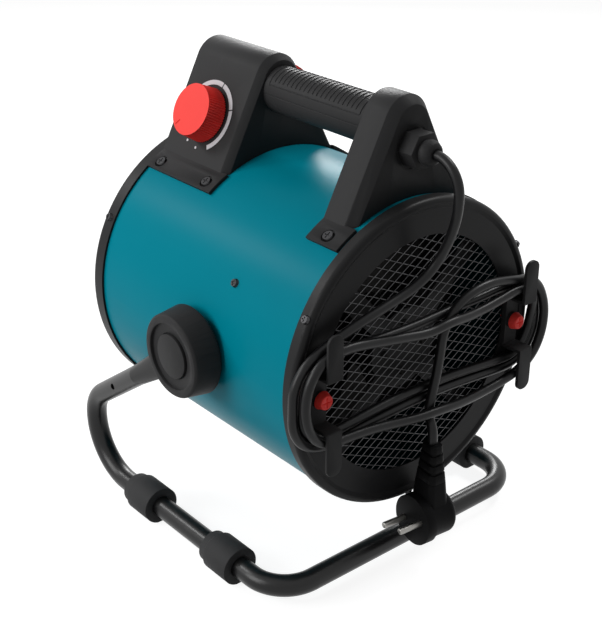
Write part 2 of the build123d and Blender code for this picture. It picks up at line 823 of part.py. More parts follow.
# The hank: outer shape of three turns, open in the middle, with a slot where the tail hangs down
hank_front = drum_half + 1.0
hank_back = rear_reach - arm_thickness - move_gap
cleat_outside = cleat_x + cleat_width / 2 + move_gap
with BuildPart() as cord_hank:
    with BuildSketch(across(hank_back)):
        with BuildLine():
            Spline(
                (cleat_outside + 16.2, 2), (cleat_outside + 2, 34), (48, 38), (3, 29.5), (-46, 34.5),
                (-cleat_outside - 2, 37.5), (-cleat_outside - 22.5, 2), (-cleat_outside - 4, -36),
                (-52, -46), (0, -44.5), (52, -39), (cleat_outside + 2, -30.5),
                periodic=True,
            )
        make_face()
        with BuildLine():
            Polyline(
                (cleat_outside, arm_height + move_gap),
                (cleat_outside - cleat_width, arm_height + move_gap),
                (10, 18.6),
                (-40, 19.5),
                (cleat_width - cleat_outside, arm_height + move_gap),
                (-cleat_outside, arm_height + move_gap),
                (-cleat_outside, -arm_height - move_gap),
                (cleat_width - cleat_outside, -arm_height - move_gap),
                (-40, -24),
                (20, -22),
                (cleat_outside - cleat_width, -arm_height - move_gap),
                (cleat_outside, -arm_height - move_gap),
                close=True,
            )
        make_face(mode=Mode.SUBTRACT)
    extrude(amount=hank_back - hank_front)
    for low_z, high_z, low_x, high_x in ((10, 50, -40, -6), (-60, -10, -15, 7)):
        with BuildSketch(across(hank_back)):
            with Locations(((low_x + high_x) / 2, (low_z + high_z) / 2)):
                Rectangle(high_x - low_x, high_z - low_z)
        extrude(amount=2 * cord_radius + 3, mode=Mode.SUBTRACT)
save(cord_hank.part, "cord_hank")

# ---- Plug: an angled two pin plug that hangs beside the crossbar, its face turned to +X ----
turn = radians(plug_turn)
face_plane = Plane(
    origin=at(plug_x, plug_y, plug_z), x_dir=(-sin(turn), cos(turn), 0), z_dir=(cos(turn), sin(turn), 0)
)
relief_plane = Plane(origin=at(relief_x, relief_y, plug_z), x_dir=(cos(turn), sin(turn), 0))
with BuildPart() as plug_body:
    with BuildSketch(face_plane):
        Circle(plug_radius)
    extrude(amount=-plug_rim)
    with BuildSketch(face_plane.offset(-plug_rim)):
        Circle(plug_body_radius)
    extrude(amount=plug_rim - plug_depth)
    fillet(plug_body.faces().sort_by(Axis(face_plane.origin, face_plane.z_dir))[0].edges(), radius=plug_edge)
    with BuildSketch(relief_plane):
        RectangleRounded(neck_depth, neck_width, plug_edge)
    with BuildSketch(relief_plane.offset(neck_top)):
        RectangleRounded(*relief_base, relief_corner)
    loft()
save(plug_body.part, "plug_body")

with BuildPart() as plug_pins:
    with BuildSketch(face_plane):
        for sign in (1, -1):
            with PolarLocations(pin_spacing / 2, 1, start_angle=pin_roll + 90 * (1 - sign)):
                Circle(pin_radius)
    extrude(amount=pin_length)
    pin_ends = plug_pins.faces().sort_by(Axis(face_plane.origin, face_plane.z_dir))[-2:]
    fillet(pin_ends.edges(), radius=pin_radius / 2)
save(plug_pins.part, "plug_pins")

with BuildPart() as plug_relief:
    with BuildSketch(relief_plane.offset(neck_top)):
        RectangleRounded(*relief_base, relief_corner)
    with BuildSketch(relief_plane.offset(relief_top)):
        RectangleRounded(*relief_end, relief_corner)
    loft()
    step = (relief_top - neck_top) / (groove_count + 1)
    for i in range(1, groove_count + 1):
        share = i / (groove_count + 1)
        core = [low + (high - low) * share - 2 * groove_depth for low, high in zip(relief_base, relief_end)]
        with BuildSketch(relief_plane.offset(neck_top + i * step)):
            Rectangle(*relief_base)
            RectangleRounded(*core, relief_corner / 2, mode=Mode.SUBTRACT)
        extrude(amount=groove_width, mode=Mode.SUBTRACT)
save(plug_relief.part, "plug_relief")

# ---- Pivots: boss and plate on the casing, washers and flattened tube end between boss and nut ----
boss_face = drum_radius + boss_height
tube_inner = boss_face + washer_thickness
tube_outer = tube_inner + flat_thickness
nut_seat = tube_outer + washer_thickness
nut_top = nut_seat + nut_height


bolt_hole = bolt_radius + bolt_hole_margin
boss_foot = sqrt(drum_radius**2 - boss_radius**2) - 1
with BuildPart() as pivot_bosses:
    for side in (1, -1):
        with BuildSketch(sideways(side * boss_foot, pivot_y)):
            Circle(boss_radius)
            Circle(bolt_hole, mode=Mode.SUBTRACT)
        extrude(amount=side * (boss_face - boss_foot))
    with BuildSketch(across(pivot_y + boss_radius + 1)):
        Circle(drum_radius + seat_gap / 2)
    extrude(amount=2 * boss_radius + 2, mode=Mode.SUBTRACT)
save(pivot_bosses.part, "pivot_bosses")

with BuildPart() as pivot_nuts:
    for side in (1, -1):
        with BuildSketch(sideways(side * nut_seat, pivot_y)):
            RegularPolygon(nut_flats / 2, 6, major_radius=False)
            Circle(bolt_radius + bolt_fit, mode=Mode.SUBTRACT)
        extrude(amount=side * nut_height)
save(pivot_nuts.part, "pivot_nuts")

plate_inner = drum_radius - sheet - seat_gap / 2 - plate_thickness
with BuildPart() as pivot_plates:
    with BuildSketch(across(pivot_y + plate_length / 2)):
        for start_angle in (-plate_half_angle, 180 - plate_half_angle):
            with BuildLine():
                outer = CenterArc((0, 0), plate_inner + plate_thickness, start_angle, 2 * plate_half_angle)
                inner = CenterArc((0, 0), plate_inner, start_angle, 2 * plate_half_angle)
                Line(outer @ 0, inner @ 0)
                Line(outer @ 1, inner @ 1)
            make_face()
    extrude(amount=plate_length)
    with BuildSketch(sideways(0, pivot_y)):
        Circle(bolt_hole)
    extrude(amount=2 * drum_radius, both=True, mode=Mode.SUBTRACT)
save(pivot_plates.part, "pivot_plates")

head_seat = sqrt(plate_inner**2 - bolt_head_radius**2) - seat_gap / 2
with BuildPart() as pivot_bolts:
    for side in (1, -1):
        with BuildSketch(sideways(side * head_seat, pivot_y)):
            Circle(bolt_head_radius)
        extrude(amount=-side * bolt_head_height)
        with BuildSketch(sideways(side * head_seat, pivot_y)):
            Circle(bolt_radius)
        extrude(amount=side * (nut_top + seat_gap - head_seat))
save(pivot_bolts.part, "pivot_bolts")

with BuildPart() as friction_washers:
    for x in (boss_face, tube_outer):
        for side in (1, -1):
            with BuildSketch(sideways(side * x, pivot_y)):
                Circle(washer_radius)
                Circle(bolt_hole, mode=Mode.SUBTRACT)
            extrude(amount=side * washer_thickness)
save(friction_washers.part, "friction_washers")

# ---- Stand tube: flattened ends at the pivots, down the front, back along the floor and across ----
corner_z = floor_z + corner_rise
crossbar_y = drum_half - crossbar_inset
slant = Vector(0, corner_y - pivot_y, corner_z).normalized()


def arm_point(side, distance):
    return at(side * tube_x, pivot_y + slant.Y * distance, slant.Z * distance)


stand_points = [
    arm_point(1, flat_start),
    at(tube_x, corner_y, corner_z),
    at(tube_x, corner_y, floor_z),
    at(tube_x, crossbar_y, floor_z),
    at(-tube_x, crossbar_y, floor_z),
    at(-tube_x, corner_y, floor_z),
    at(-tube_x, corner_y, corner_z),
    arm_point(-1, flat_start),
]
stand_bends = [front_corner_radius, floor_corner_radius, rear_corner_radius]
with BuildLine() as stand_path:
    FilletPolyline(*stand_points, radius=stand_bends + stand_bends[::-1])
with BuildPart() as stand_tube:
    with BuildSketch(Plane(origin=stand_path.line @ 0, x_dir=(1, 0, 0), z_dir=slant)):
        Circle(tube_radius)
        Circle(tube_radius - tube_wall, mode=Mode.SUBTRACT)
    sweep(path=stand_path.line)
    for side in (1, -1):
        with BuildSketch(Plane(origin=arm_point(side, flat_start), x_dir=(1, 0, 0), z_dir=slant)):
            Circle(tube_radius)
        with BuildSketch(Plane(origin=arm_point(side, flat_end), x_dir=(1, 0, 0), z_dir=slant)):
            Ellipse(flat_thickness / 2, flat_width / 2)
        loft()
        with BuildSketch(sideways(side * tube_x - flat_thickness / 2, pivot_y)):
            Circle(flat_width / 2)
            with Locations((slant.Y * flat_end / 2, slant.Z * flat_end / 2)):
                Rectangle(flat_end, flat_width, rotation=degrees(atan2(slant.Z, slant.Y)))
        extrude(amount=flat_thickness)
    with BuildSketch(sideways(0, pivot_y)):
        Circle(bolt_radius + bolt_fit)
        with Locations((slant.Y * arm_hole_distance, slant.Z * arm_hole_distance)):
            Circle(arm_hole_radius)
    extrude(amount=tube_x + tube_radius, both=True, mode=Mode.SUBTRACT)
save(stand_tube.part, "stand_tube")

with BuildPart() as foot_sleeves:
    for start, end in sleeve_spans:
        for side in (1, -1):
            with BuildSketch(across(end, side * tube_x, floor_z)):
                Circle(sleeve_radius)
            extrude(amount=end - start - collar_length)
    rims = foot_sleeves.edges().filter_by(GeomType.CIRCLE).group_by(Axis.Y)
    chamfer(rims[0] + rims[2], length=sleeve_taper)
    for start, end in sleeve_spans:
        for side in (1, -1):
            with BuildSketch(across(start + collar_length + sleeve_taper, side * tube_x, floor_z)):
                Circle(collar_radius)
            extrude(amount=collar_length + sleeve_taper)
    for side in (1, -1):
        with BuildSketch(across(crossbar_y, side * tube_x, floor_z)):
            Circle(sleeve_bore)
        extrude(amount=crossbar_y - corner_y, mode=Mode.SUBTRACT)
    with BuildSketch(Plane(origin=at(0, 0, -axis_z))):
        Rectangle(4 * tube_x, 4 * tube_x)
    extrude(amount=-sleeve_flat, mode=Mode.SUBTRACT)
save(foot_sleeves.part, "foot_sleeves")

# ---- Pivot covers: hollow, slotted for the arm, with a cap in the middle ----
cover_back = drum_radius + cover_back_gap
cover_face = cover_back + cover_height
cap_face = cover_face - cap_set_back
for name, side in (("pivot_cover_left", 1), ("pivot_cover_right", -1)):
    cover_outline = (
        (side * cover_back, cover_radius - cover_edge),
        (side * (cover_back + cover_edge), cover_radius),
        (side * (cover_face - cover_edge / 2), cover_face_radius),
        (side * cover_face, cover_face_radius - cover_edge / 2),
        (side * cover_face, groove_outer_radius),
        (side * (cover_face - cover_groove_depth), groove_outer_radius),
        (side * (cover_face - cover_groove_depth), cap_radius + move_gap),
        (side * (cover_face - cover_groove_depth - cover_wall), cap_radius + move_gap),
        (side * (cover_face - cover_groove_depth - cover_wall), cover_face_radius - cover_wall),
        (side * (cover_back + cover_edge), cover_radius - cover_wall),
        (side * cover_back, cover_radius - cover_edge - cover_wall),
    )
    cover_blank = turned(cover_outline, across(pivot_y), pivot_axis)
    with BuildPart() as cover:
        add(cover_blank)
        slot_middle = (slant.Y * cover_radius, slant.Z * cover_radius)
        with BuildSketch(sideways(side * tube_outer, pivot_y)):
            with Locations(slot_middle):
                Rectangle(
                    cover_radius, flat_width + 2 * move_gap, rotation=degrees(atan2(slant.Z, slant.Y))
                )
        extrude(amount=-side * (tube_outer - cover_back + 1), mode=Mode.SUBTRACT)
    save(cover.part, name)

with BuildPart() as cover_caps:
    for side in (1, -1):
        with BuildSketch(sideways(side * cap_face, pivot_y)):
            Circle(cap_radius)
        extrude(amount=-side * cap_thickness)
save(cover_caps.part, "cover_caps")

# ---- Air path: heat shield with a front flange, fan shroud with a lip and an orifice ----
inner_wall = drum_radius - sheet - seat_gap
shield_outline = (
    (-shield_front, inner_wall),
    (shield_sheet - shield_front, inner_wall),
    (shield_sheet - shield_front, shield_radius),
    (shroud_y - seat_gap, shield_radius),
    (shroud_y - seat_gap, shield_radius - shield_sheet),
    (-shield_front, shield_radius - shield_sheet),
)
with BuildPart() as heat_shield:
    add(turned(shield_outline, sideways(0), drum_axis))
    with BuildSketch(Plane(origin=at(0, -wire_hole_y, 0))):
        Circle(wire_hole_radius)
    extrude(amount=drum_radius, mode=Mode.SUBTRACT)
save(heat_shield.part, "heat_shield")

shroud_outline = (
    (shroud_y - shroud_lip, inner_wall),
    (shroud_y + sheet, inner_wall),
    (shroud_y + sheet, orifice_radius + sheet),
    (shroud_y + orifice_length, orifice_radius + sheet),
    (shroud_y + orifice_length, orifice_radius),
    (shroud_y, orifice_radius),
    (shroud_y, inner_wall - sheet),
    (shroud_y - shroud_lip, inner_wall - sheet),
)
with BuildPart() as fan_shroud:
    add(turned(shroud_outline, sideways(0), drum_axis))
    with BuildSketch(*[radial(a, y, drum_radius) for a, y in shroud_screw_spots]):
        Circle(small_shank + hole_margin)
    extrude(amount=-4 * sheet, mode=Mode.SUBTRACT)
save(fan_shroud.part, "fan_shroud")

# ---- Fan and motor ----
blade_tip = orifice_radius - blade_gap
fan_middle = fan_hub_front + fan_hub_length / 2
with BuildPart() as fan_blades:
    with BuildSketch(across(fan_hub_front + fan_hub_length)):
        Circle(fan_hub_radius)
    extrude(amount=fan_hub_length)
    for i in range(blade_count):
        angle = 90 + i * 360 / blade_count
        with BuildSketch(radial(angle, fan_middle, fan_hub_radius - blade_thickness)):
            Rectangle(blade_thickness, blade_root_chord, rotation=blade_root_pitch)
        with BuildSketch(radial(angle, fan_middle, blade_tip)):
            Rectangle(blade_thickness, blade_tip_chord, rotation=blade_tip_pitch)
        loft()
    with BuildSketch(across(fan_hub_front + fan_hub_length)):
        Circle(shaft_radius)
    extrude(amount=fan_hub_length, mode=Mode.SUBTRACT)
save(fan_blades.part, "fan_blades")

motor_rear = motor_front + motor_length
arm_angles = (45, 135, 225, 315)
with BuildPart() as motor_shaft:
    with BuildSketch(across(motor_rear - bracket_sheet)):
        Circle(shaft_radius)
    extrude(amount=motor_rear - bracket_sheet - fan_hub_front)
save(motor_shaft.part, "motor_shaft")

with BuildPart() as motor_body:
    with BuildSketch(across(motor_rear)):
        Circle(motor_radius)
    extrude(amount=motor_length)
    with BuildSketch(across(motor_front)):
        Circle(motor_boss_radius)
    extrude(amount=motor_boss_height)
    with BuildSketch(across(motor_rear - bracket_sheet / 2)):
        Circle(shaft_radius + shaft_fit)
    extrude(amount=motor_length + motor_boss_height, mode=Mode.SUBTRACT)
    with BuildSketch(across(motor_rear)):
        with PolarLocations(motor_screw_radius, len(arm_angles)):
            Circle(small_shank + hole_margin)
    extrude(amount=motor_screw_depth, mode=Mode.SUBTRACT)
save(motor_body.part, "motor_body")

with BuildPart() as motor_bracket:
    with BuildSketch(across(motor_rear + bracket_sheet)):
        Circle(motor_plate_radius)
        with PolarLocations(inner_wall / 2, len(arm_angles), start_angle=arm_angles[0]):
            Rectangle(inner_wall, bracket_arm_width)
        Circle(inner_wall, mode=Mode.INTERSECT)
    extrude(amount=bracket_sheet)
    for angle in arm_angles:
        with BuildSketch(radial(angle, motor_rear + bracket_sheet - bracket_tab / 2, inner_wall)):
            Rectangle(bracket_tab, bracket_arm_width)
        extrude(amount=-bracket_sheet)
    with BuildSketch(across(motor_rear + bracket_sheet + bracket_tab)):
        Circle(2 * drum_radius)
        Circle(inner_wall, mode=Mode.SUBTRACT)
    extrude(amount=3 * bracket_tab, mode=Mode.SUBTRACT)
    with BuildSketch(across(motor_rear + 2 * bracket_sheet)):
        with PolarLocations(motor_screw_radius, len(arm_angles)):
            Circle(small_shank + hole_margin)
    extrude(amount=3 * bracket_sheet, mode=Mode.SUBTRACT)
save(motor_bracket.part, "motor_bracket")

# ---- Heating: three open rings in a row of pins, on a plate with three arms ----
pins_rear = element_pin_length - element_y
with BuildPart() as heating_elements:
    for r in ring_radii:
        gap_angle = degrees(asin(pin_half_spacing / r))
        start = radians(90 - gap_angle)
        ring_start = Plane(
            origin=at(0, -element_y, 0), x_dir=(cos(start), 0, sin(start)), z_dir=(-sin(start), 0, cos(start))
        )
        with BuildSketch(ring_start):
            with Locations((r, 0)):
                Circle(element_radius)
        revolve(axis=drum_axis, revolution_arc=360 - 2 * gap_angle)
        with BuildSketch(across(pins_rear)):
            with Locations(*[(x, sqrt(r**2 - x**2)) for x in (-pin_half_spacing, pin_half_spacing)]):
                Circle(pin_sleeve_radius)
        extrude(amount=element_pin_length + element_radius / 2)
save(heating_elements.part, "heating_elements")

support_y = support_setback - element_y
support_reach = shield_radius - shield_sheet - support_gap
with BuildPart() as element_support:
    with BuildSketch(across(support_y)):
        with PolarLocations(support_reach / 2, 3, start_angle=90):
            Rectangle(support_reach, support_arm_width)
        Circle(support_reach, mode=Mode.INTERSECT)
        for r in ring_radii:
            with Locations(*[(x, sqrt(r**2 - x**2)) for x in (-pin_half_spacing, pin_half_spacing)]):
                Circle(pin_sleeve_radius + seat_gap, mode=Mode.SUBTRACT)
    extrude(amount=support_sheet)
save(element_support.part, "element_support")

# ---- Wiring: terminal block in the control box, leads to the elements, cable through the handle ----
block_floor_z = drum_radius + block_floor
block_rear = -box_rear - bracket_wall - seat_gap
with BuildPart() as terminal_block:
    with BuildSketch(across(block_rear, 0, block_floor_z + block_height / 2)):
        Rectangle(block_width, block_height)
    extrude(amount=block_length)
save(terminal_block.part, "terminal_block")

lead_y = pins_rear - lead_setback
lead_foot = sqrt(ring_radii[-1]**2 - pin_half_spacing**2) + pin_sleeve_radius
with BuildPart() as element_leads:
    with BuildSketch(Plane(origin=at(0, lead_y, lead_foot))):
        with Locations((pin_half_spacing, 0), (-pin_half_spacing, 0)):
            Circle(lead_radius)
    extrude(amount=block_floor_z - lead_foot)
save(element_leads.part, "element_leads")

cable_z = gland_z + cable_rise
cable_end_y = core_front - 2 * cord_radius - 6
jog_front = core_rear + 0.45 * hypot(cable_rise, cable_jog)
cable_points = [
    at(0, gland_end, gland_z),
    at(0, jog_front + cable_jog, gland_z),
    at(0, jog_front, cable_z),
    at(0, cable_end_y, cable_z),
    at(0, cable_end_y, block_floor_z + block_height),
]
cable_bends = bends(cable_points)[:2] + [cable_bend]
supply_cable, cable_length = tube(cable_points, cord_radius, cable_bends)
print("cable bends", [round(r) for r in cable_bends], "length", round(cable_length))
save(supply_cable, "supply_cable")

cutout_seat = sqrt((shield_radius - shield_sheet)**2 - cutout_radius**2) - seat_gap / 2
with BuildPart() as thermal_cutout:
    with BuildSketch(radial(cutout_angle, -cutout_y, cutout_seat)):
        Circle(cutout_radius)
    extrude(amount=-cutout_height)
save(thermal_cutout.part, "thermal_cutout")

motor_screw_planes = []
for i in range(len(arm_angles)):
    a = radians(90 * i)
    centre = at(motor_screw_radius * cos(a), motor_rear + bracket_sheet, motor_screw_radius * sin(a))
    motor_screw_planes.append(Plane(origin=centre, x_dir=(-1, 0, 0), z_dir=(0, 1, 0)))
motor_screws = pan_screws(motor_screw_planes, small_head, head_height, small_shank, screw_length)
save(motor_screws, "motor_screws")
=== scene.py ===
import bmesh
import bpy
import json
from math import atan2, cos, pi, radians, sin
from mathutils import Matrix, Vector

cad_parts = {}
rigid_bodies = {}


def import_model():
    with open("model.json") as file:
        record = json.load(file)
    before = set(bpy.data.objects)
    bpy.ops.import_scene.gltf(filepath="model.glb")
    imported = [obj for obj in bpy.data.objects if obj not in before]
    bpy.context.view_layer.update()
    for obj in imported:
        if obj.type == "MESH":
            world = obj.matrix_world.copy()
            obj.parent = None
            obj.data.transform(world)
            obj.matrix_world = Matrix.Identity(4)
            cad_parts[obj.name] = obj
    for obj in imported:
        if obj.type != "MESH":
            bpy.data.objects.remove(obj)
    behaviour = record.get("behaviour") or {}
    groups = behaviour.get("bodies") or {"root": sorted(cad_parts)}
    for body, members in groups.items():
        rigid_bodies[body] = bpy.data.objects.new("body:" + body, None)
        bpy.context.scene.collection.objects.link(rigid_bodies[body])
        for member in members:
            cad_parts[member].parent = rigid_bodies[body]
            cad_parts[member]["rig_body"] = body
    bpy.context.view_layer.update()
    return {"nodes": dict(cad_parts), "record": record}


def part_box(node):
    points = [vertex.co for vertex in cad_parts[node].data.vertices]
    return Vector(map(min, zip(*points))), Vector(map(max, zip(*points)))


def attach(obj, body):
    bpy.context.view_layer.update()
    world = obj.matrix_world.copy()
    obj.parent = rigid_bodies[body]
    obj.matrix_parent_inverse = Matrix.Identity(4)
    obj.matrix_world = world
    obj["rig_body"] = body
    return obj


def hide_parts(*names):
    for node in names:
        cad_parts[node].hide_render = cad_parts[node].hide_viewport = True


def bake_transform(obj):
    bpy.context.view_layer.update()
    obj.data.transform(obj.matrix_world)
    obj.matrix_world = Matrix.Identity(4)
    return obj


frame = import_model()
nodes = frame["nodes"]
bodyOf = {name: node["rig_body"] for name, node in nodes.items()}
bpy.ops.object.select_all(action="DESELECT")
print("frame loaded:", len(nodes), "nodes")

# Places are given in millimetres from the middle of the drum, as the part was drawn
drumMiddle = Vector((0, -7.0, 166.1))
handleZ = 156.6  # the middle of the grip


def at(x, y, z):
    return (Vector((x, y, z)) + drumMiddle) / 1000


# Camera
cameraSetup = {
    "place": (0.5643, 0.6603, 0.5725),
    "turn": (63.9852, -0.7072, 139.1133),
    "lens": 72.198,
    "shift": (-0.0412, 0.01159),
}
cameraData = bpy.data.cameras.new("camera")
cameraData.lens = cameraSetup["lens"]
cameraData.sensor_width = 36
cameraData.shift_x, cameraData.shift_y = cameraSetup["shift"]
cameraData.clip_start = 0.05
cameraData.clip_end = 20
camera = bpy.data.objects.new("camera", cameraData)
camera.location = cameraSetup["place"]
camera.rotation_euler = [radians(angle) for angle in cameraSetup["turn"]]
bpy.context.scene.collection.objects.link(camera)
bpy.context.scene.camera = camera
bpy.context.scene.view_settings.view_transform = "Standard"


# Shader maths: a socket that can be added, multiplied and so on
class Wire:
    def __init__(self, finish, socket):
        self.finish = finish
        self.socket = socket

    def maths(self, operation, first, second):
        return self.finish.node("ShaderNodeMath", {"operation": operation}, {0: first, 1: second})

    def __add__(self, other):
        return self.maths("ADD", self, other)

    def __radd__(self, other):
        return self.maths("ADD", other, self)

    def __sub__(self, other):
        return self.maths("SUBTRACT", self, other)

    def __rsub__(self, other):
        return self.maths("SUBTRACT", other, self)

    def __mul__(self, other):
        return self.maths("MULTIPLY", self, other)

    def __rmul__(self, other):
        return self.maths("MULTIPLY", other, self)


class Finish:
    def __init__(self, name, constants=None):
        self.material = bpy.data.materials.new(name)
        self.material.use_nodes = True
        self.tree = self.material.node_tree
        self.shader = self.tree.nodes["Principled BSDF"]
        for socket, value in (constants or {}).items():
            self.shader.inputs[socket].default_value = value
        self.place = self.node("ShaderNodeTexCoord", output="Object")

    def node(self, kind, settings=None, sockets=None, output=0):
        made = self.tree.nodes.new(kind)
        for key, value in (settings or {}).items():
            setattr(made, key, value)
        for key, value in (sockets or {}).items():
            if isinstance(value, Wire):
                self.tree.links.new(value.socket, made.inputs[key])
            else:
                made.inputs[key].default_value = value
        return Wire(self, made.outputs[output])

    def feed(self, socket, wire):
        self.tree.links.new(wire.socket, self.shader.inputs[socket])
        return self

    def noise(self, scale, detail=2.0, roughness=0.5, place=None):
        sockets = {"Vector": place or self.place, "Scale": scale, "Detail": detail, "Roughness": roughness}
        return self.node("ShaderNodeTexNoise", {}, sockets)

    def grains(self, scale, place=None):
        return self.node("ShaderNodeTexVoronoi", {}, {"Vector": place or self.place, "Scale": scale})

    def stretched(self, x, y, z):
        sockets = {"Vector": self.place, "Scale": (x, y, z)}
        return self.node("ShaderNodeMapping", {}, sockets)

    def step(self, wire, low, high):
        settings = {"interpolation_type": "SMOOTHSTEP"}
        return self.node("ShaderNodeMapRange", settings, {"Value": wire, "From Min": low, "From Max": high})

    def tint(self, factor, first, second):
        sockets = {0: factor, 6: (*first, 1), 7: (*second, 1)}
        return self.node("ShaderNodeMix", {"data_type": "RGBA"}, sockets, 2)

    def overlay(self, factor, first, second):
        return self.node("ShaderNodeMix", {"data_type": "RGBA"}, {0: factor, 6: first, 7: (*second, 1)}, 2)

    def bump(self, height, distance, strength=1.0):
        return self.node("ShaderNodeBump", {}, {"Height": height, "Strength": strength, "Distance": distance})


# The inside colour and its edge paint shade onto the drum's inner wall
paintSetup = {
    "clouds": 9.0, "peel": 420.0, "finePeel": 1400.0, "scuffs": 60.0, "scuffEdge": (0.62, 0.8), "dust": 150.0,
    "dustColour": (0.3, 0.3, 0.28), "insideShadeColour": (0.0, 0.028, 0.034), "insideShadeEdge": 0.0002,
}


def paintFinish(name, colours, roughness, peel, gloss=0.1, dust=0.03, inside=0.0):
    # Sprayed paint or powder: orange peel, small changes of gloss, a little dust on what faces up, and
    # painted shade inside the drum when inside is given
    setup = paintSetup
    paint = Finish(name, {"IOR": 1.5, "Specular IOR Level": gloss})
    broad = paint.noise(setup["clouds"], 3.0)
    fine = paint.noise(setup["peel"], 2.0)
    drawn = paint.noise(setup["scuffs"], 6.0, 0.7, paint.stretched(1.0, 1.0, 6.0))
    scuffs = paint.step(drawn, *setup["scuffEdge"])
    base = paint.tint(broad, *colours)
    if inside:
        # Inside the drum the paint turns a dark teal: painted shade on the inner wall
        x, z = (paint.node("ShaderNodeSeparateXYZ", {}, {0: paint.place}, index) for index in (0, 2))
        z = z - drumMiddle.z / 1000
        edge = setup["insideShadeEdge"]
        outward = paint.step(x * x + z * z, (inside - edge)**2, (inside + edge)**2)
        base = paint.overlay(1 - outward, base, setup["insideShadeColour"])
    up = paint.node("ShaderNodeSeparateXYZ", {}, {0: paint.node("ShaderNodeNewGeometry", output="Normal")}, 2)
    dusty = paint.step(up, 0.2, 1.0) * paint.noise(setup["dust"], 5.0, 0.7) * dust
    paint.feed("Base Color", paint.overlay(dusty, base, setup["dustColour"]))
    paint.feed("Roughness", roughness + 0.06 * broad + 0.1 * scuffs + 2.0 * dusty)
    paint.feed("Normal", paint.bump(fine + 0.5 * paint.noise(setup["finePeel"], 2.0), peel))
    return paint.material


mouldSetup = {"clouds": 14.0, "rubs": 45.0, "rubEdge": (0.56, 0.78), "finer": 1.7}


def mouldedFinish(name, colours, roughness, grain, grainScale=1500.0, scuff=0.12, gloss=0.15):
    # Moulded plastic: spark-eroded grain, faint flow marks and rubbed patches
    setup = mouldSetup
    plastic = Finish(name, {"IOR": 1.46, "Specular IOR Level": gloss})
    broad = plastic.noise(setup["clouds"], 4.0, 0.6)
    pits = plastic.grains(grainScale)
    fine = plastic.noise(grainScale * setup["finer"], 3.0, 0.6)
    rubs = plastic.noise(setup["rubs"], 6.0, 0.72, plastic.stretched(1.0, 3.0, 1.0))
    rubbed = plastic.step(rubs, *setup["rubEdge"])
    colour = plastic.tint(broad * 0.7 + rubbed * 0.3, *colours)
    plastic.feed("Base Color", colour)
    plastic.feed("Roughness", roughness + 0.08 * broad - scuff * rubbed + 0.06 * fine)
    plastic.feed("Normal", plastic.bump(0.6 * pits + fine, grain))
    return plastic.material


metalSetup = {
    "clouds": 35.0, "flakes": 160.0, "stains": 22.0, "stainEdge": (0.42, 0.66), "lineDepth": 0.00002,
}


def metalFinish(name, colours, roughness, scale=300.0, stain=None, spangle=0.0):
    # Bare or plated metal: fine marks, clouded plating, stains where it runs hot
    setup = metalSetup
    metal = Finish(name, {"Metallic": 1.0})
    lines = metal.noise(scale, 4.0, 0.65)
    cloud = metal.noise(setup["clouds"], 4.0, 0.6)
    flake = metal.grains(setup["flakes"])
    colour = metal.tint(cloud * 0.6 + lines * 0.4, *colours)
    if stain:
        stains = metal.step(metal.noise(setup["stains"], 5.0, 0.65), *setup["stainEdge"])
        colour = metal.overlay(stains, colour, stain)
    metal.feed("Base Color", colour)
    metal.feed("Roughness", roughness + 0.16 * cloud + 0.08 * lines + spangle * flake)
    metal.feed("Normal", metal.bump(lines, setup["lineDepth"]))
    return metal.material


finishes = {
    # Inside this radius the casing's inner wall gets painted shade
    "casing": paintFinish(
        "tealPowderCoat", ((0.0, 0.185, 0.25), (0.0, 0.215, 0.285)), 0.3, 0.000012, gloss=0.025, dust=0.003,
        inside=0.1119,
    ),
    "black_sheet": paintFinish(
        "satinBlackPaint", ((0.015, 0.015, 0.0155), (0.02, 0.02, 0.021)), 0.33, 0.00002, gloss=0.09
    ),
    "black_tube": paintFinish(
        "glossBlackPaint", ((0.002, 0.002, 0.0024), (0.004, 0.004, 0.0044)), 0.27, 0.000002, gloss=0.32
    ),
    "black_moulding": mouldedFinish(
        "blackMoulding", ((0.021, 0.021, 0.0215), (0.031, 0.031, 0.032)), 0.44, 0.00003, gloss=0.09
    ),
    "red_knob": mouldedFinish(
        "redPlastic", ((0.85, 0.045, 0.036), (0.93, 0.065, 0.055)), 0.38, 0.000006, grainScale=1800.0,
        scuff=0.05, gloss=0.18,
    ),
    "print": mouldedFinish("whiteInk", ((0.5, 0.5, 0.52), (0.62, 0.62, 0.64)), 0.5, 0.00001),
    "zinc": metalFinish("zincPlate", ((0.58, 0.59, 0.61), (0.74, 0.75, 0.77)), 0.24),
    "galvanised": metalFinish(
        "galvanisedSheet", ((0.42, 0.43, 0.45), (0.62, 0.63, 0.64)), 0.3, scale=120.0, spangle=0.12
    ),
    "element": metalFinish(
        "heatStainedSteel", ((0.2, 0.16, 0.13), (0.3, 0.26, 0.22)), 0.36, stain=(0.09, 0.1, 0.17)
    ),
    "fan": paintFinish(
        "fanBlackPaint", ((0.004, 0.004, 0.0045), (0.007, 0.007, 0.0075)), 0.6, 0.00002, gloss=0.01
    ),
    "dark_screw": metalFinish(
        "blackenedZinc", ((0.025, 0.025, 0.027), (0.08, 0.08, 0.083)), 0.2, scale=700.0
    ),
    "cord": mouldedFinish(
        "cordSheath", ((0.004, 0.004, 0.0045), (0.007, 0.007, 0.0075)), 0.29, 0.000012, grainScale=900.0,
        scuff=0.06, gloss=0.26,
    ),
    "pins": metalFinish("nickelPins", ((0.2, 0.195, 0.185), (0.36, 0.35, 0.33)), 0.24),
}
plugRubber = mouldedFinish(
    "plugRubber", ((0.003, 0.003, 0.0033), (0.006, 0.006, 0.0064)), 0.42, 0.00002, grainScale=1200.0,
    scuff=0.06, gloss=0.06,
)
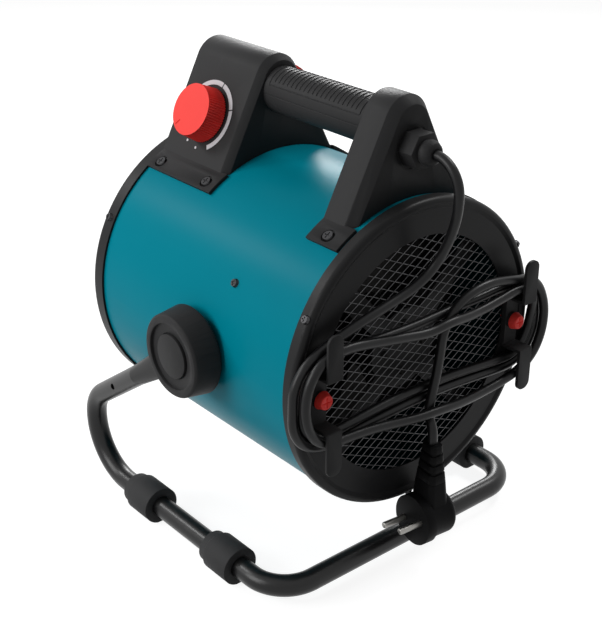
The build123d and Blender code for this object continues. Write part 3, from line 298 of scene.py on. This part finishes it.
# Rubber foot sleeves: rubber grain and gloss, with a lighter black than the moulding that is painted light
# from the side lamp
sideLitSleeveRubber = mouldedFinish(
    "sideLitSleeveRubber", ((0.034, 0.034, 0.035), (0.048, 0.048, 0.049)), 0.55, 0.00004, grainScale=1100.0,
    scuff=0.08, gloss=0.12,
)
# Near-black sheet for the metal parts deep inside the drum: painted shade, darker than their metal is
interiorShadeSheet = metalFinish("interiorShadeSheet", ((0.012, 0.012, 0.0125), (0.03, 0.029, 0.028)), 0.5, scale=200.0)
meshSteel = metalFinish("meshWire", ((0.08, 0.08, 0.083), (0.16, 0.16, 0.165)), 0.36, scale=900.0)

# Each node wears its slot's finish, apart from the few that look different
ownFinish = {
    "plug_body": plugRubber,
    "plug_relief": plugRubber,
    "foot_sleeves": sideLitSleeveRubber,
    # The parts inside the drum wear the near-black sheet as painted shade
    "heat_shield": interiorShadeSheet,
    "element_support": interiorShadeSheet,
    "motor_screws": interiorShadeSheet,
    "thermal_cutout": interiorShadeSheet,
}
slotOf = {row["node"]: row["material_slot"] for row in frame["record"]["subparts"]}
for name, node in nodes.items():
    node.data.materials.clear()
    node.data.materials.append(ownFinish.get(name, finishes[slotOf[name]]))
print("finishes made:", len(finishes))


# Floor, backdrop and lamps
def seenDirectly(tree):
    # 1 for what the camera sees, straight or by way of gloss or glass
    path = tree.nodes.new("ShaderNodeLightPath")
    total = path.outputs["Is Camera Ray"]
    for kind in ("Is Glossy Ray", "Is Transmission Ray"):
        larger = tree.nodes.new("ShaderNodeMath")
        larger.operation = "MAXIMUM"
        tree.links.new(total, larger.inputs[0])
        tree.links.new(path.outputs[kind], larger.inputs[1])
        total = larger.outputs[0]
    return total


floorSetup = {"size": 6.0, "colour": 0.5, "seenColour": 0.3, "glow": 0.88}
bpy.ops.mesh.primitive_plane_add(size=floorSetup["size"])
floor = bpy.context.object
floor.name = "floor"
ground = Finish("paleFloor", {"Roughness": 0.9, "Specular IOR Level": 0.0})
seen = Wire(ground, seenDirectly(ground.tree))
pale, faint = [floorSetup["colour"]] * 3, [floorSetup["seenColour"]] * 3
ground.feed("Base Color", ground.tint(seen, pale, faint))
ground.shader.inputs["Emission Color"].default_value = (1, 1, 1, 1)
ground.feed("Emission Strength", seen * floorSetup["glow"])
floor.data.materials.append(ground.material)

skySetup = {"light": 0.2, "seen": 1.0}
world = bpy.data.worlds.new("studio")
bpy.context.scene.world = world
world.use_nodes = True
skyTree = world.node_tree
sky = skyTree.nodes["Background"]
sky.inputs["Color"].default_value = (1, 1, 1, 1)
level = skyTree.nodes.new("ShaderNodeMapRange")
level.inputs["To Min"].default_value = skySetup["light"]
level.inputs["To Max"].default_value = skySetup["seen"]
skyTree.links.new(seenDirectly(skyTree), level.inputs["Value"])
skyTree.links.new(level.outputs[0], sky.inputs["Strength"])

lamps = {
    "sidePanel": {"place": (1.3, -0.4, 0.78), "aim": (0, 0, 0.17), "size": (0.9, 0.8), "power": 13.5},
    "frontLamp": {"place": (0.69, -1.03, 1.0), "aim": (0, 0, 0.17), "size": (0.3, 0.2), "power": 5.2},
    "topPanel": {"place": (-0.95, 0.1, 1.35), "aim": (0, 0, 0.1), "size": (0.4, 0.3), "power": 8.0},
    "farPanel": {"place": (-1.0, -1.15, 0.85), "aim": (0, 0, 0.25), "size": (0.5, 0.3), "power": 13.0},
}
for name, lamp in lamps.items():
    lampData = bpy.data.lights.new(name, "AREA")
    lampData.shape = "RECTANGLE"
    lampData.size, lampData.size_y = lamp["size"]
    lampData.energy = lamp["power"]
    light = bpy.data.objects.new(name, lampData)
    light.location = lamp["place"]
    light.rotation_euler = (Vector(lamp["aim"]) - light.location).to_track_quat("-Z", "Y").to_euler()
    bpy.context.scene.collection.objects.link(light)
print("floor and lamps placed")


# Working tools: what a maker does by hand, as short functions
def only(piece):
    bpy.ops.object.select_all(action="DESELECT")
    piece.select_set(True)
    bpy.context.view_layer.objects.active = piece


def chooseFaces(test):
    # In edit mode, selects the faces whose normal passes the test
    bpy.ops.mesh.select_mode(type="FACE")
    bpy.ops.mesh.select_all(action="DESELECT")
    shape = bmesh.from_edit_mesh(bpy.context.object.data)
    for face in shape.faces:
        if test(face.normal):
            face.select_set(True)
    shape.select_flush_mode()
    bmesh.update_edit_mesh(bpy.context.object.data)


def chooseVertices(test):
    # In edit mode, selects the vertices whose place passes the test
    bpy.ops.mesh.select_mode(type="VERT")
    bpy.ops.mesh.select_all(action="DESELECT")
    shape = bmesh.from_edit_mesh(bpy.context.object.data)
    for vertex in shape.verts:
        if test(vertex.co):
            vertex.select_set(True)
    shape.select_flush_mode()
    bmesh.update_edit_mesh(bpy.context.object.data)


def modify(piece, kind, **settings):
    only(piece)
    modifier = piece.modifiers.new(kind.lower(), kind)
    for key, value in settings.items():
        setattr(modifier, key, value)
    bpy.ops.object.modifier_apply(modifier=modifier.name)


def placed(piece, matrix):
    # Applies a place to the mesh, so that the object stays at the origin
    piece.data.transform(matrix @ piece.matrix_basis)
    piece.matrix_basis = Matrix.Identity(4)


def settle(piece, name, body, finish, stoodFor=(), smooth=35):
    placed(piece, Matrix.Identity(4))
    piece.name = name
    piece.data.name = name
    piece.data.materials.clear()
    piece.data.materials.append(finish)
    only(piece)
    bpy.ops.object.shade_smooth_by_angle(angle=radians(smooth))
    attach(piece, body)
    if stoodFor:
        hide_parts(*stoodFor)
    return piece


softSetup = {"weld": 0.002, "flat": 0.6, "turn": 32, "segments": 2}


def softened(name, width):
    # A moulded node's own shape again, with its sharp edges rounded off
    source = nodes[name]
    piece = source.copy()
    piece.data = source.data.copy()
    bpy.context.scene.collection.objects.link(piece)
    for key in [key for key in piece.keys() if key.startswith("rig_")]:
        del piece[key]
    piece.parent = None
    piece.matrix_basis = Matrix.Identity(4)
    only(piece)
    bpy.ops.object.mode_set(mode="EDIT")
    bpy.ops.mesh.select_all(action="SELECT")
    bpy.ops.mesh.remove_doubles(threshold=softSetup["weld"] / 1000)
    bpy.ops.mesh.dissolve_limited(angle_limit=radians(softSetup["flat"]))
    bpy.ops.object.mode_set(mode="OBJECT")
    modify(
        piece, "BEVEL", width=width / 1000, segments=softSetup["segments"], limit_method="ANGLE",
        angle_limit=radians(softSetup["turn"]), use_clamp_overlap=True, miter_outer="MITER_ARC",
    )
    return settle(piece, name + "Soft", bodyOf[name], source.data.materials[0], (name,), 30)


# Mains cord: down from the gland, three turns round the cleats, then the tail to the plug
cordSetup = {
    "radius": 3.5, "segments": 6, "smoothness": 10, "blendFrom": (0, 131, 30), "blendTo": (0, 131, -60),
}
cordRoute = [
    (0, 128, 147.5), (0, 130.8, 147.5), (0, 136.1, 146.1), (0, 140.9, 143.3), (-0.1, 144.8, 139.4),
    (-0.3, 147.6, 134.6), (-0.6, 149, 129.3), (-0.9, 149.2, 123.4), (-1.2, 148.7, 116.5),
    (-1.8, 146.8, 107), (-2.2, 142, 93), (-0.4, 135.8, 78), (5.5, 132.2, 67.5), (16, 130.3, 60),
    (30, 129.6, 55.6), (46, 130, 52.5), (62, 129.5, 48.6), (78, 128, 43), (93.5, 127, 37.4),
    (108.6, 126.5, 29.3), (117.4, 126, 15), (117.8, 126, 0), (117.8, 125.7, -14.9),
    (109.9, 125.3, -28.5), (96.3, 125, -36.4), (80, 125, -36.6), (58, 125, -34.6), (28, 125, -32.8),
    (0, 124.5, -32.2), (-28, 124.5, -32.8), (-58, 125, -34.6), (-80, 125, -36.6), (-96.3, 125, -36.4),
    (-109.9, 125.3, -28.5), (-117.6, 125.4, -14.9), (-118, 125.4, 0), (-115.2, 125.2, 14),
    (-105.6, 125.1, 25.4), (-91, 124.9, 30.2), (-74, 124.6, 30.4), (-55, 124.5, 29), (-33.5, 124, 28.5),
    (-13.6, 124, 27.2), (15, 124, 26.2), (45, 124.5, 27.4), (66, 125, 28.8), (82.5, 125, 29.1),
    (94.4, 125, 29.1), (104.6, 125, 23.2), (110.5, 125, 13), (110.5, 125, 0), (110.5, 125, -13),
    (104.6, 125, -23.2), (94.4, 125, -29.1), (82.5, 125, -29.1), (66, 124.8, -28), (45, 124.5, -26.2),
    (28, 124, -25.2), (0, 124, -24.8), (-28, 124, -25.2), (-45, 124.5, -26.2), (-66, 124.8, -28),
    (-82.5, 125, -29.1), (-94.4, 125, -29.1), (-104.6, 125.2, -23.2), (-110.5, 125.6, -13),
    (-110.8, 127, 0), (-109.3, 129.9, 12.6), (-103.5, 132.4, 23.1), (-93, 133.9, 29.1),
    (-80, 134, 29.6), (-66, 134.1, 27.4), (-46, 135, 25.6), (-28, 137.5, 26.5), (-11.7, 138.8, 28.7),
    (6, 137, 25.1), (28, 135, 28), (50.4, 134.2, 31.5), (70, 134, 35), (84, 133.9, 35.9), (97, 134, 34),
    (107.5, 133.9, 26), (113, 133.8, 14), (114, 133.6, 0), (111.3, 133.7, -13.5), (103.5, 133.8, -25),
    (91, 133.9, -30.6), (77, 133.9, -31.2), (60, 134.2, -32.4), (44, 134.6, -34.4), (28, 135.8, -36.6),
    (14, 137.6, -37.8), (2, 138.9, -37.8), (-10, 139.2, -38.6), (-23, 138.4, -40.4), (-38, 136.6, -42),
    (-56, 134.9, -42.6), (-75, 134.2, -41.7), (-96, 133.6, -38.5), (-110, 133.4, -29.5),
    (-118, 133, -16), (-120.3, 132.6, 0), (-117.5, 132, 15), (-109.8, 131.5, 28), (-98.5, 131, 34.4),
    (-88, 131, 36),
]
tailRoute = [
    (-88, 131, 36), (-73, 131, 39.5), (-58, 131, 41.8), (-42.5, 131, 40.5), (-28.5, 131, 35.8),
    (-18, 131, 27), (-12.5, 131, 15), (-10.9, 131.1, 1.5), (-8.7, 131.2, -12), (-5.4, 131.4, -25),
    (-1.6, 132, -38.8), (0.2, 134.6, -44.6), (1.6, 139, -49), (2.68, 141.61, -54.7),
    (2.68, 141.61, -61.1),
]


def cordCurve(name, route, radius):
    curveData = bpy.data.curves.new(name, "CURVE")
    curveData.dimensions = "3D"
    curveData.bevel_depth = radius / 1000
    curveData.bevel_resolution = cordSetup["segments"]
    curveData.resolution_u = cordSetup["smoothness"]
    curveData.use_fill_caps = True
    spline = curveData.splines.new("NURBS")
    spline.points.add(len(route) - 1)
    for point, place in zip(spline.points, route):
        point.co = (*at(*place), 1)
    spline.order_u = 3
    spline.use_endpoint_u = True
    curve = bpy.data.objects.new(name, curveData)
    bpy.context.scene.collection.objects.link(curve)
    return curve


def linePoints(name, route):
    # The points along the spline of a route, without its thickness
    thin = cordCurve(name, route, 0)
    bpy.context.view_layer.update()
    line = bpy.data.meshes.new_from_object(thin)
    points = [vertex.co.copy() for vertex in line.vertices]
    bpy.data.objects.remove(thin)
    return points


def lineLength(points):
    return sum((b - a).length for a, b in zip(points, points[1:]))


woundCord = cordCurve("mainsCord", cordRoute, cordSetup["radius"])
woundCord.data.materials.append(finishes["cord"])
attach(woundCord, "drum")
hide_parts("cord_drop", "cord_hank")
woundLength = lineLength(linePoints("woundLine", cordRoute))
tailLine = linePoints("tailLine", tailRoute)
tailCord = cordCurve("cordTail", tailRoute, cordSetup["radius"])
only(tailCord)
bpy.ops.object.convert(target="MESH")
tailCord = bpy.context.object
tailCord.data.materials.clear()
tailCord.data.materials.append(finishes["cord"])
bpy.ops.object.shade_smooth()
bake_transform(tailCord)
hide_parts("cord_tail")

# Moulded parts with their edges rounded
roundings = {
    "control_box": 1.2,
    "rear_bracket": 1.2,
    "cleat_left": 0.7,
    "cleat_right": 0.7,
    "foot_sleeves": 0.6,
    "pivot_cover_left": 1.0,
    "pivot_cover_right": 1.0,
    "cover_caps": 0.7,
    "gland_body": 0.4,
    "gland_nut": 0.5,
    "plug_body": 0.8,
    "plug_relief": 0.5,
    "handle_upper_shell": 0.4,
    "handle_lower_shell": 0.4,
    "cleat_screws": 0.4,
}
soft = {name: softened(name, width) for name, width in roundings.items()}
print("edges rounded:", len(roundings))


def carve(piece, cutters):
    # Cuts each cutter out of the piece
    for cutter in cutters:
        modify(piece, "BOOLEAN", object=cutter, operation="DIFFERENCE", solver="EXACT")
        bpy.data.objects.remove(cutter)


def joined(pieces):
    # Makes one piece of several, named for the first
    bpy.ops.object.select_all(action="DESELECT")
    for piece in pieces:
        piece.select_set(True)
    bpy.context.view_layer.objects.active = pieces[0]
    bpy.ops.object.join()
    return bpy.context.object


def repeated(piece, matrices):
    # Copies of a piece, each with a mesh of its own, joined with it
    copies = []
    for matrix in matrices:
        twin = piece.copy()
        twin.data = piece.data.copy()
        twin.data.transform(matrix)
        bpy.context.scene.collection.objects.link(twin)
        copies.append(twin)
    return joined([piece, *copies])


# Knobs: finely fluted round the side, with a flat face and a cut that points
knobSetup = {
    "radius": 20.8, "top": 19.45, "gap": 1.0, "height": 15.4, "ridges": 66, "ridgeDepth": 0.9, "core": 18.0,
    "rim": 0.5, "shoulder": 0.8, "cutPlace": 15.2, "cutSize": (5.6, 0.9, 1.4), "cutBevel": 0.3,
}
dials = {
    "thermostat_knob": {"side": 1, "up": 35.0, "forward": 72.0, "pointer": -128.0},
    "selector_knob": {"side": -1, "up": 38.0, "forward": 67.0, "pointer": 120.0},
}
# The control box's sides lean in by this much, from the flanges on the drum
boxSetup = {"lean": 27.0, "halfWidth": 52.4, "flangeRadius": 115.2}
flangeHeight = (boxSetup["flangeRadius"]**2 - boxSetup["halfWidth"]**2)**0.5


def dialPlace(dial):
    # x to the rear, z out of the sloping side of the control box
    side = dial["side"]
    lean = radians(boxSetup["lean"])
    x = side * (boxSetup["halfWidth"] - dial["up"] * sin(lean))
    middle = at(x, -dial["forward"], flangeHeight + dial["up"] * cos(lean))
    out = Vector((side * cos(lean), 0, sin(lean)))
    rear = Vector((0, 1, 0))
    turn = Matrix((rear * side, out.cross(rear * side), out)).transposed()
    return Matrix.Translation(middle) @ turn.to_4x4()


def flutedKnob(name, dial):
    setup = knobSetup
    middle = setup["gap"] + setup["height"] / 2
    bpy.ops.object.select_all(action="DESELECT")
    bpy.ops.mesh.primitive_cone_add(
        vertices=2 * setup["ridges"], radius1=setup["radius"] / 1000, radius2=setup["top"] / 1000,
        depth=setup["height"] / 1000, end_fill_type="NGON", location=(0, 0, middle / 1000),
    )
    knob = bpy.context.object
    placed(knob, Matrix.Identity(4))
    top = (setup["gap"] + setup["height"]) / 1000
    shoulder = top - setup["shoulder"] / 1000
    only(knob)
    bpy.ops.object.mode_set(mode="EDIT")
    chooseFaces(lambda normal: normal.z > 0.9)
    bpy.ops.mesh.inset(thickness=setup["rim"] / 1000)
    chooseFaces(lambda normal: abs(normal.z) < 0.5)
    bpy.ops.mesh.bisect(plane_co=(0, 0, shoulder), plane_no=(0, 0, 1))
    step = pi / setup["ridges"]
    # Every second line down the side goes in, up to the shoulder
    chooseVertices(lambda place: place.z < shoulder + 0.0001 and place.xy.length > setup["core"] / 1000
                   and round(atan2(place.y, place.x) / step) % 2 == 1)
    shrink = 1 - setup["ridgeDepth"] / setup["radius"]
    bpy.ops.transform.resize(value=(shrink, shrink, 1), center_override=(0, 0, 0))
    bpy.ops.object.mode_set(mode="OBJECT")
    bpy.ops.mesh.primitive_cube_add(
        size=1, location=(setup["cutPlace"] / 1000, 0, top), scale=Vector(setup["cutSize"]) / 1000
    )
    groove = bpy.context.object
    placed(groove, Matrix.Rotation(radians(dial["pointer"]), 4, "Z"))
    modify(groove, "BEVEL", width=setup["cutBevel"] / 1000, segments=2)
    carve(knob, [groove])
    placed(knob, dialPlace(dial))
    return settle(knob, name + "Fluted", bodyOf[name], finishes["red_knob"], (name,), 24)


for name, dial in dials.items():
    flutedKnob(name, dial)
print("knobs fluted")

# Dark ticks across the printed scale of the warmer side
tickSetup = {
    "inner": 23.2, "outer": 27.1, "width": 0.9, "height": 0.24, "lift": 0.3, "bevel": 0.04,
    "angles": (21.6, 75.6),
}


def scaleTick(angle):
    setup = tickSetup
    bpy.ops.object.select_all(action="DESELECT")
    middle = Vector(((setup["inner"] + setup["outer"]) / 2, 0, setup["lift"]))
    size = Vector((setup["outer"] - setup["inner"], setup["width"], setup["height"]))
    bpy.ops.mesh.primitive_cube_add(size=1, location=middle / 1000, scale=size / 1000)
    tick = bpy.context.object
    modify(tick, "BEVEL", width=setup["bevel"] / 1000, segments=1)
    placed(tick, dialPlace(dials["thermostat_knob"]) @ Matrix.Rotation(radians(angle), 4, "Z"))
    return tick


ticks = joined([scaleTick(angle) for angle in tickSetup["angles"]])
settle(ticks, "scaleTicks", bodyOf["dial_scales"], finishes["black_moulding"])

# Rear mesh: two layers of thin wire, welded where they cross. Each layer has its angle, the pitch
# of its wires and its depth
meshSetup = {
    "radius": 97.2, "wire": 0.29, "endInset": 0.1, "endSwell": 1.0005,
    "layers": ((24.5, 6.6, -0.27), (-32.5, 5.8, 0.27)),
}
meshLow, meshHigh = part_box("rear_mesh")
meshMiddle = (Vector(meshLow) + Vector(meshHigh)) / 2


def wireLayer(angle, pitch, depth):
    radius = meshSetup["radius"] / 1000
    bpy.ops.object.select_all(action="DESELECT")
    bpy.ops.mesh.primitive_cylinder_add(
        vertices=6, radius=meshSetup["wire"] / 1000, depth=2 * radius, end_fill_type="NGON"
    )
    wire = bpy.context.object
    only(wire)
    bpy.ops.object.mode_set(mode="EDIT")
    chooseFaces(lambda normal: abs(normal.z) > 0.9)
    bpy.ops.mesh.inset(thickness=meshSetup["endInset"] / 1000)
    bpy.ops.transform.resize(value=(1, 1, meshSetup["endSwell"]))
    bpy.ops.object.mode_set(mode="OBJECT")
    placed(wire, Matrix.Rotation(radians(90), 4, "Y"))
    count = int(radius / (pitch / 1000))
    spots = []
    for i in [i for i in range(-count, count + 1) if i]:
        off = i * pitch / 1000
        half = (radius**2 - off**2)**0.5
        spots.append(Matrix.Translation((0, 0, off)) @ Matrix.Diagonal((half / radius, 1, 1, 1)))
    layer = repeated(wire, spots)
    move = Matrix.Translation(meshMiddle + Vector((0, depth / 1000, 0)))
    placed(layer, move @ Matrix.Rotation(radians(-angle), 4, "Y"))
    return layer


rearMesh = joined([wireLayer(*layer) for layer in meshSetup["layers"]])
settle(rearMesh, "rearMeshWires", bodyOf["rear_mesh"], meshSteel, ("rear_mesh",), 50)
print("rear mesh laid")

# Handle: ribs across the top of the grip, and the moulded outlines on its side
gripSetup = {
    "radius": 17.0, "groove": 0.5, "padEnds": (-24.5, 71.0), "padSides": (24, 156), "steps": 96,
    "ribs": 20, "pitch": 4.5, "first": -20.0, "ribRing": 16.9, "ribRadius": 0.52, "ribSides": (34, 146),
}


def ringCut(y, low, high, radius, thickness):
    # A bead round part of the grip, from one angle to another, measured from +X upward
    middle = at(0, y, handleZ)
    bpy.ops.object.select_all(action="DESELECT")
    bpy.ops.mesh.primitive_torus_add(
        major_segments=gripSetup["steps"], minor_segments=8, major_radius=radius / 1000,
        minor_radius=thickness / 1000, location=middle, rotation=(radians(90), 0, 0),
    )
    bead = bpy.context.object
    placed(bead, Matrix.Identity(4))
    only(bead)
    bpy.ops.object.mode_set(mode="EDIT")
    for angle, sign in ((low, -1), (high, 1)):
        bpy.ops.mesh.select_all(action="SELECT")
        normal = (-sin(radians(angle)) * sign, 0, cos(radians(angle)) * sign)
        bpy.ops.mesh.bisect(plane_co=middle, plane_no=normal, use_fill=True, clear_outer=True)
    bpy.ops.object.mode_set(mode="OBJECT")
    return bead


def longCut(angle, start, end, radius, thickness):
    # A thin bar along the grip at one angle
    bpy.ops.object.select_all(action="DESELECT")
    x = radius * cos(radians(angle))
    z = handleZ + radius * sin(radians(angle))
    bpy.ops.mesh.primitive_cylinder_add(
        vertices=8, radius=thickness / 1000, depth=(end - start) / 1000, location=at(x, (start + end) / 2, z),
        rotation=(radians(90), 0, 0),
    )
    bar = bpy.context.object
    placed(bar, Matrix.Identity(4))
    return bar


rib = ringCut(gripSetup["first"], *gripSetup["ribSides"], gripSetup["ribRing"], gripSetup["ribRadius"])
ribSteps = [i * gripSetup["pitch"] / 1000 for i in range(1, gripSetup["ribs"])]
ribs = repeated(rib, [Matrix.Translation((0, step, 0)) for step in ribSteps])
settle(ribs, "gripRibs", bodyOf["handle_upper_shell"], finishes["black_moulding"])
padEnds, padSides = gripSetup["padEnds"], gripSetup["padSides"]
grooves = [ringCut(y, *padSides, gripSetup["radius"], gripSetup["groove"]) for y in padEnds]
grooves += [longCut(angle, *padEnds, gripSetup["radius"], gripSetup["groove"]) for angle in padSides]
carve(soft["handle_upper_shell"], grooves)
print("handle ribbed")
